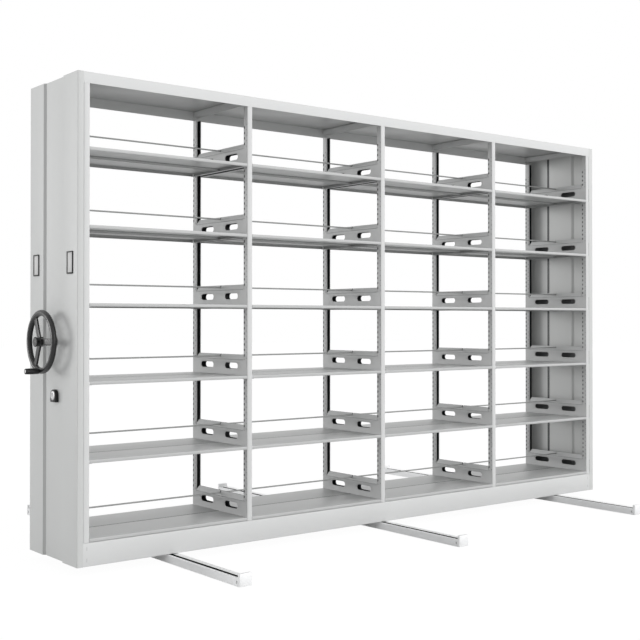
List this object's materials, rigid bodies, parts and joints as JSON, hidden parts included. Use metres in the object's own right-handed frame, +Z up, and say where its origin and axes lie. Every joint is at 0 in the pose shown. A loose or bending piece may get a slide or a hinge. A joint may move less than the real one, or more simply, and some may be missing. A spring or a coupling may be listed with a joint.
{
  "type": "compact mobile shelving unit",
  "caption": "Double-sided steel shelving unit on a wheeled base that a crank handwheel and chain drive along floor rails, with open compartments, end panels, lock and label holders.",
  "frame": {"origin": "on the floor, under the middle of the whole part's box, which includes the rails and the crank grip", "axes": "+X along the rack, from the handwheel end to the far end; +Y along the rails, from the access side shown in the picture to the back; +Z up"},
  "size_m": [3.9009, 2.3, 2.335],
  "materials": {
    "front_grey": "light grey powder coat, satin, fine texture",
    "panel_grey": "light grey powder coat, satin, fine texture",
    "shelf_grey": "light grey powder coat, satin, fine texture",
    "rail_white": "off-white paint on folded steel, dark wheel groove",
    "groove_steel": "turned and rolled steel, slightly oiled",
    "bright_steel": "turned bright steel",
    "black_plastic": "moulded black plastic, low sheen",
    "card_white": "plain white card, bare"
  },
  "bodies": {
    "track": {"rail_1": "rail_white", "rail_2": "rail_white", "rail_3": "rail_white"},
    "carriage": {"chassis": "front_grey", "side_frame_1": "front_grey", "side_frame_2": "front_grey", "side_frame_3": "front_grey", "side_frame_4": "front_grey", "side_frame_5": "front_grey", "top_beam_front": "front_grey", "top_beam_back": "front_grey", "ceiling_sheet": "shelf_grey", "shelf_bay1_tier1": "shelf_grey", "shelf_bay1_tier2": "shelf_grey", "shelf_bay1_tier3": "shelf_grey", "shelf_bay1_tier4": "shelf_grey", "shelf_bay1_tier5": "shelf_grey", "shelf_bay1_tier6": "shelf_grey", "shelf_bay2_tier1": "shelf_grey", "shelf_bay2_tier2": "shelf_grey", "shelf_bay2_tier3": "shelf_grey", "shelf_bay2_tier4": "shelf_grey", "shelf_bay2_tier5": "shelf_grey", "shelf_bay2_tier6": "shelf_grey", "shelf_bay3_tier1": "shelf_grey", "shelf_bay3_tier2": "shelf_grey", "shelf_bay3_tier3": "shelf_grey", "shelf_bay3_tier4": "shelf_grey", "shelf_bay3_tier5": "shelf_grey", "shelf_bay3_tier6": "shelf_grey", "shelf_bay4_tier1": "shelf_grey", "shelf_bay4_tier2": "shelf_grey", "shelf_bay4_tier3": "shelf_grey", "shelf_bay4_tier4": "shelf_grey", "shelf_bay4_tier5": "shelf_grey", "shelf_bay4_tier6": "shelf_grey", "stop_rod_tier_1": "front_grey", "stop_rod_tier_2": "front_grey", "stop_rod_tier_3": "front_grey", "stop_rod_tier_4": "front_grey", "stop_rod_tier_5": "front_grey", "stop_rod_tier_6": "front_grey", "end_panel_drive": "panel_grey", "end_panel_far": "panel_grey", "drive_chain": "groove_steel", "shaft_flange": "black_plastic", "lock_housing": "black_plastic", "label_holder_near": "black_plastic", "label_holder_far": "black_plastic"},
    "drive_wheels": {"drive_wheelset": "groove_steel", "axle_sprocket": "groove_steel"},
    "idler_wheels": {"idler_wheelset": "groove_steel"},
    "handwheel": {"handwheel": "black_plastic", "handwheel_shaft": "bright_steel", "shaft_sprocket": "groove_steel", "crank_spindle": "bright_steel"},
    "grip": {"crank_grip": "black_plastic"},
    "lock": {"lock_cylinder": "bright_steel"},
    "card_near": {"label_card_near": "card_white"},
    "card_far": {"label_card_far": "card_white"}
  },
  "joints": [
    {"name": "carriage_slide", "type": "slide", "parent": "track", "child": "carriage", "axis": [0, 1, 0], "range_m": [-0.6, 1.13]},
    {"name": "drive_axle_spin", "type": "hinge", "parent": "carriage", "child": "drive_wheels", "pos_m": [0.06965, -0.11, 0.0873], "axis": [-1, 0, 0], "range_deg": [-700, 1310]},
    {"name": "idler_axle_spin", "type": "hinge", "parent": "carriage", "child": "idler_wheels", "pos_m": [0.06965, -0.42, 0.0873], "axis": [-1, 0, 0], "range_deg": [-700, 1310]},
    {"name": "handwheel_spin", "type": "hinge", "parent": "carriage", "child": "handwheel", "pos_m": [-1.86815, -0.265, 1.078], "axis": [-1, 0, 0], "range_deg": [-1160, 2175]},
    {"name": "grip_spin", "type": "hinge", "parent": "handwheel", "child": "grip", "pos_m": [-1.91115, -0.265, 0.939], "axis": [-1, 0, 0], "continuous": true},
    {"name": "lock_turn", "type": "hinge", "parent": "carriage", "child": "lock", "pos_m": [-1.81115, -0.28, 0.821], "axis": [1, 0, 0], "range_deg": [0, 90]},
    {"name": "card_near_lift", "type": "slide", "parent": "carriage", "child": "card_near", "axis": [0, 0, 1], "range_m": [0, 0.1]},
    {"name": "card_far_lift", "type": "slide", "parent": "carriage", "child": "card_far", "axis": [0, 0, 1], "range_m": [0, 0.1]}
  ],
  "couplings": [
    {"joint": "drive_axle_spin", "follows": "carriage_slide", "rad_per_m": 20},
    {"joint": "idler_axle_spin", "follows": "carriage_slide", "rad_per_m": 20},
    {"joint": "handwheel_spin", "follows": "carriage_slide", "rad_per_m": 33.333}
  ]
}
